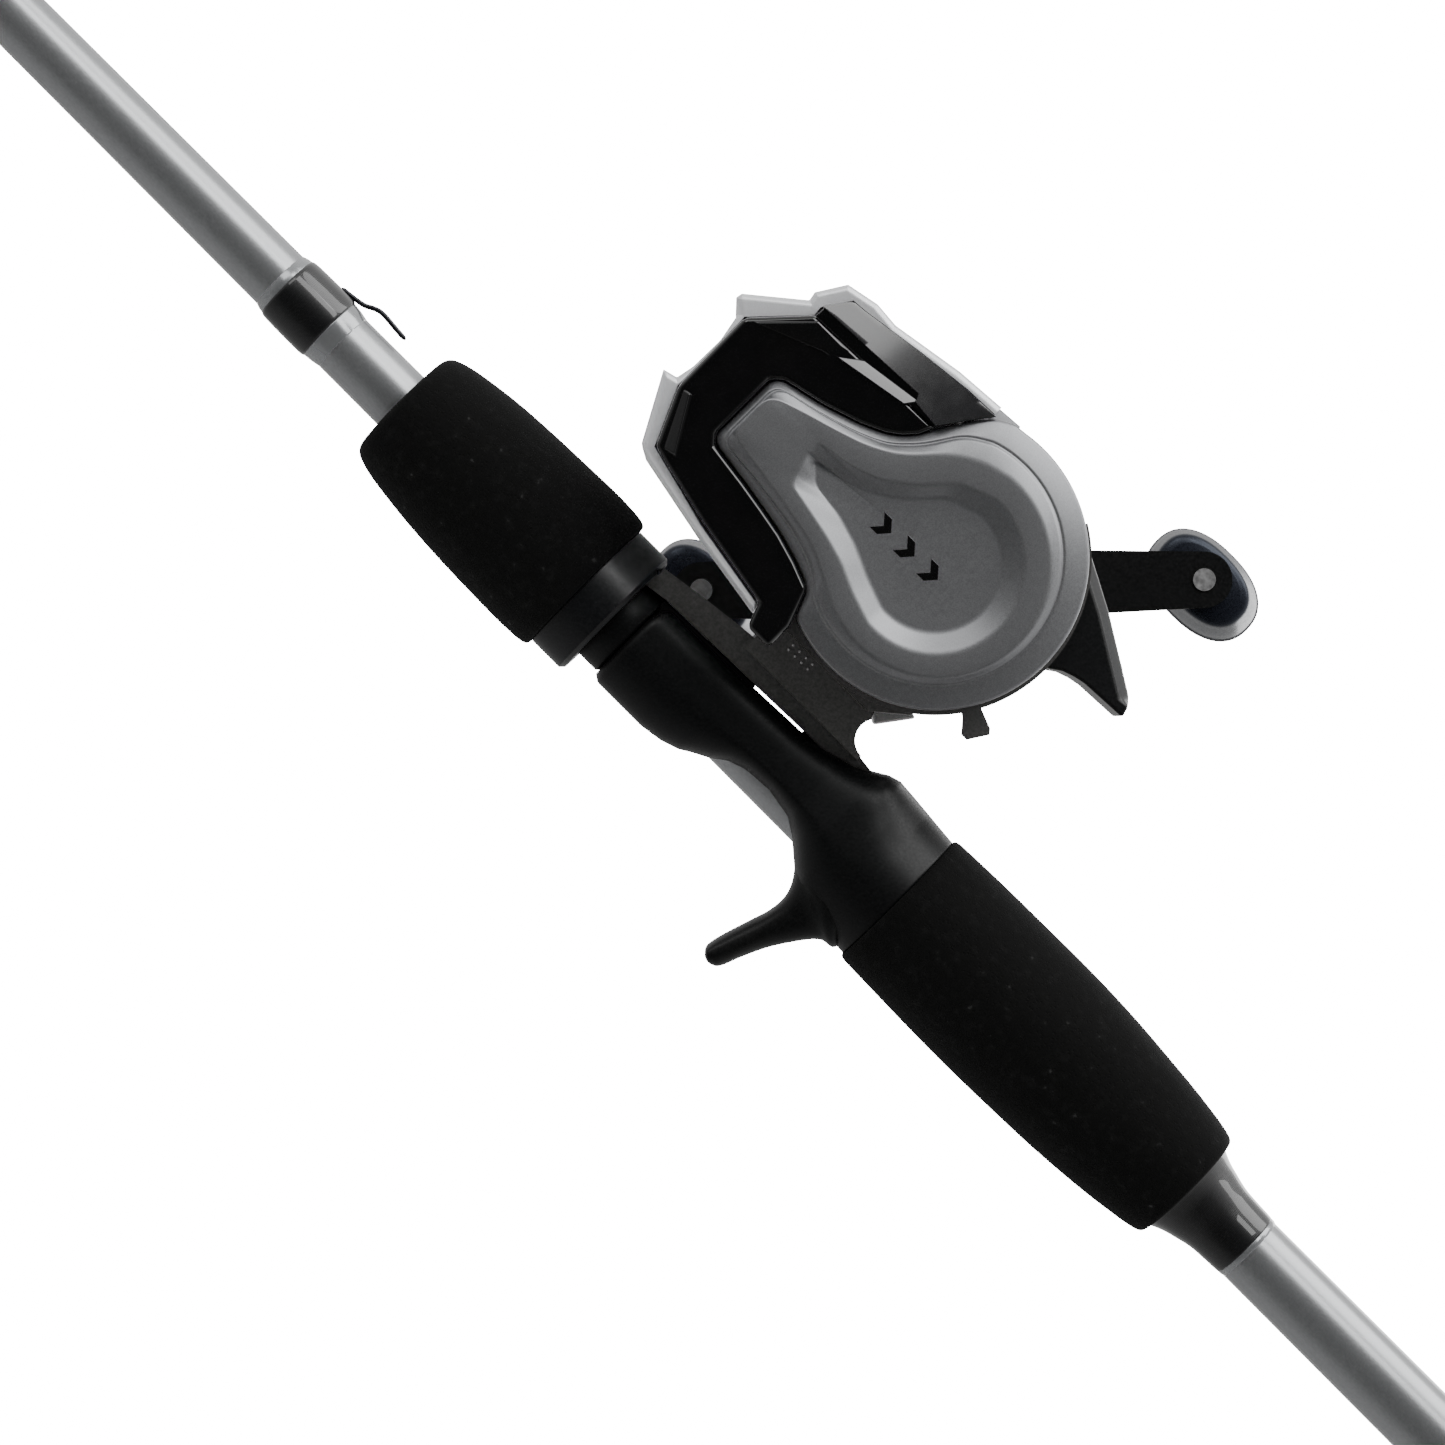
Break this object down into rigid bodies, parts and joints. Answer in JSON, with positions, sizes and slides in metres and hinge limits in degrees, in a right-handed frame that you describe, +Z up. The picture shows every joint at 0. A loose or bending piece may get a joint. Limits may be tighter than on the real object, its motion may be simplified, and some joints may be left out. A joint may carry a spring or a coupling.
{
  "type": "fishing rod and reel",
  "caption": "Casting rod with foam grips and a trigger seat, holding a low-profile reel with a crank handle, level wind, thumb bar and star drag.",
  "frame": {"origin": "centre of the butt cap's end face, on the rod's axis", "axes": "+X along the rod out of the butt end, so the tip is at -X; +Z up, on the reel's side of the rod; the handle is at +Y"},
  "size_m": [1.9809, 0.091, 0.1095],
  "materials": {
    "blank_silver": "satin paint over graphite composite",
    "foam": "closed-cell foam, matte",
    "rubber": "matte",
    "wrap": "thread under clear epoxy",
    "seat_plastic": "satin",
    "inner_plastic": "moulded",
    "dark_wire": "dark plated",
    "ceramic": "polished ceramic",
    "frame_graphite": "charcoal satin",
    "plate_silver": "gun-metal satin",
    "cover_black": "piano black",
    "hood_silver": "light silver satin",
    "side_silver": "silver satin",
    "spool_metal": "turned",
    "steel": "ground",
    "brass": "machined",
    "nylon": "moulded",
    "drag_fibre": "carbon fibre",
    "arm_black": "semi-gloss",
    "rivet": "cast",
    "knob_plastic": "gloss",
    "star_metal": "anodised",
    "magnet": "plated"
  },
  "bodies": {
    "rod_and_reel": {"blank": "blank_silver", "butt_cap": "rubber", "butt_grip": "foam", "butt_wrap": "wrap", "rear_grip": "foam", "rear_grip_wrap": "wrap", "reel_seat": "seat_plastic", "hook_keeper": "dark_wire", "hook_keeper_wrap": "wrap", "guide_wraps": "wrap", "guide_frame_1": "dark_wire", "guide_frame_2": "dark_wire", "guide_frame_3": "dark_wire", "guide_frame_4": "dark_wire", "guide_frame_5": "dark_wire", "guide_frame_6": "dark_wire", "guide_ring_1": "ceramic", "guide_ring_2": "ceramic", "guide_ring_3": "ceramic", "guide_ring_4": "ceramic", "guide_ring_5": "ceramic", "guide_ring_6": "ceramic", "tip_top": "dark_wire", "tip_ring": "ceramic", "reel_frame": "frame_graphite", "palm_plate": "plate_silver", "palm_cover": "cover_black", "front_hood": "hood_silver", "handle_side_plate": "side_silver", "handle_side_trim": "cover_black", "spool_bearings": "steel", "drive_bearings": "steel", "guide_rail": "steel", "screws": "steel"},
    "moving_hood": {"moving_hood": "seat_plastic"},
    "lock_nut": {"lock_nut": "inner_plastic", "fore_grip": "foam"},
    "handle": {"handle_arm": "arm_black", "handle_nut": "star_metal", "knob_rivets": "rivet", "drive_shaft": "steel", "main_gear": "brass", "drag_washers": "drag_fibre"},
    "star_drag": {"star_drag": "star_metal"},
    "drag_nut": {"drag_nut": "brass"},
    "knob_1": {"knob_1": "knob_plastic"},
    "knob_2": {"knob_2": "knob_plastic"},
    "spool": {"spool": "spool_metal", "spool_shaft": "steel"},
    "clutch_yoke": {"clutch_yoke": "nylon"},
    "pinion": {"pinion": "brass"},
    "thumb_bar": {"thumb_bar": "seat_plastic"},
    "worm_shaft": {"worm_shaft": "steel"},
    "idler_gear": {"idler_gear": "nylon"},
    "line_guide": {"line_guide": "inner_plastic", "line_guide_ring": "ceramic"},
    "tension_cap": {"tension_cap": "star_metal"},
    "brake_ring": {"brake_ring": "frame_graphite"},
    "magnet_carrier": {"magnet_carrier": "inner_plastic", "brake_magnets": "magnet"}
  },
  "joints": [
    {"name": "hood_slide", "type": "slide", "parent": "rod_and_reel", "child": "moving_hood", "axis": [-1, 0, 0], "range_m": [0, 0.0046]},
    {"name": "lock_nut_turn", "type": "hinge", "parent": "moving_hood", "child": "lock_nut", "pos_m": [-0.325, 0, 0], "axis": [1, 0, 0], "range_deg": [0, 1080]},
    {"name": "handle_turn", "type": "hinge", "parent": "rod_and_reel", "child": "handle", "pos_m": [-0.27407, 0.038, 0.0434], "axis": [0, 1, 0], "continuous": true},
    {"name": "knob_1_spin", "type": "hinge", "parent": "handle", "child": "knob_1", "pos_m": [-0.245, 0.05, 0.07371], "axis": [0, 1, 0], "continuous": true},
    {"name": "knob_2_spin", "type": "hinge", "parent": "handle", "child": "knob_2", "pos_m": [-0.30314, 0.05, 0.01309], "axis": [0, 1, 0], "continuous": true},
    {"name": "star_turn", "type": "hinge", "parent": "handle", "child": "star_drag", "pos_m": [-0.27407, 0.033, 0.0434], "axis": [0, 1, 0], "range_deg": [-150, 150]},
    {"name": "drag_nut_slide", "type": "slide", "parent": "handle", "child": "drag_nut", "axis": [0, 1, 0], "range_m": [-0.00042, 0.00042]},
    {"name": "spool_spin", "type": "hinge", "parent": "rod_and_reel", "child": "spool", "pos_m": [-0.29147, 0, 0.0434], "axis": [0, 1, 0], "continuous": true},
    {"name": "yoke_slide", "type": "slide", "parent": "rod_and_reel", "child": "clutch_yoke", "axis": [0, 1, 0], "range_m": [0, 0.0013]},
    {"name": "pinion_spin", "type": "hinge", "parent": "clutch_yoke", "child": "pinion", "pos_m": [-0.29147, 0.02, 0.0434], "axis": [0, 1, 0], "continuous": true},
    {"name": "thumb_bar_press", "type": "slide", "parent": "rod_and_reel", "child": "thumb_bar", "axis": [0.342, 0, -0.9397], "range_m": [0, 0.005]},
    {"name": "worm_spin", "type": "hinge", "parent": "rod_and_reel", "child": "worm_shaft", "pos_m": [-0.31497, 0, 0.0434], "axis": [0, 1, 0], "continuous": true},
    {"name": "idler_spin", "type": "hinge", "parent": "rod_and_reel", "child": "idler_gear", "pos_m": [-0.30147, -0.016, 0.0434], "axis": [0, 1, 0], "continuous": true},
    {"name": "line_guide_slide", "type": "slide", "parent": "rod_and_reel", "child": "line_guide", "axis": [0, 1, 0], "range_m": [-0.008, 0.008]},
    {"name": "tension_cap_turn", "type": "hinge", "parent": "rod_and_reel", "child": "tension_cap", "pos_m": [-0.29147, 0.029, 0.0434], "axis": [0, 1, 0], "range_deg": [-180, 180]},
    {"name": "brake_turn", "type": "hinge", "parent": "rod_and_reel", "child": "brake_ring", "pos_m": [-0.27954, -0.016, 0.0423], "axis": [0, 1, 0], "range_deg": [-18, 18]},
    {"name": "magnet_slide", "type": "slide", "parent": "rod_and_reel", "child": "magnet_carrier", "axis": [0, 1, 0], "range_m": [-0.00072, 0.00072]}
  ],
  "couplings": [
    {"joint": "hood_slide", "follows": "lock_nut_turn", "m_per_rad": 0.00023873},
    {"joint": "spool_spin", "follows": "handle_turn", "ratio": -6.4},
    {"joint": "pinion_spin", "follows": "handle_turn", "ratio": -6.4},
    {"joint": "idler_spin", "follows": "handle_turn", "ratio": 3.4462},
    {"joint": "worm_spin", "follows": "handle_turn", "ratio": -3.2},
    {"joint": "drag_nut_slide", "follows": "star_turn", "m_per_rad": 0.00015915},
    {"joint": "yoke_slide", "follows": "thumb_bar_press", "ratio": 0.24},
    {"joint": "magnet_slide", "follows": "brake_turn", "m_per_rad": 0.0022}
  ]
}
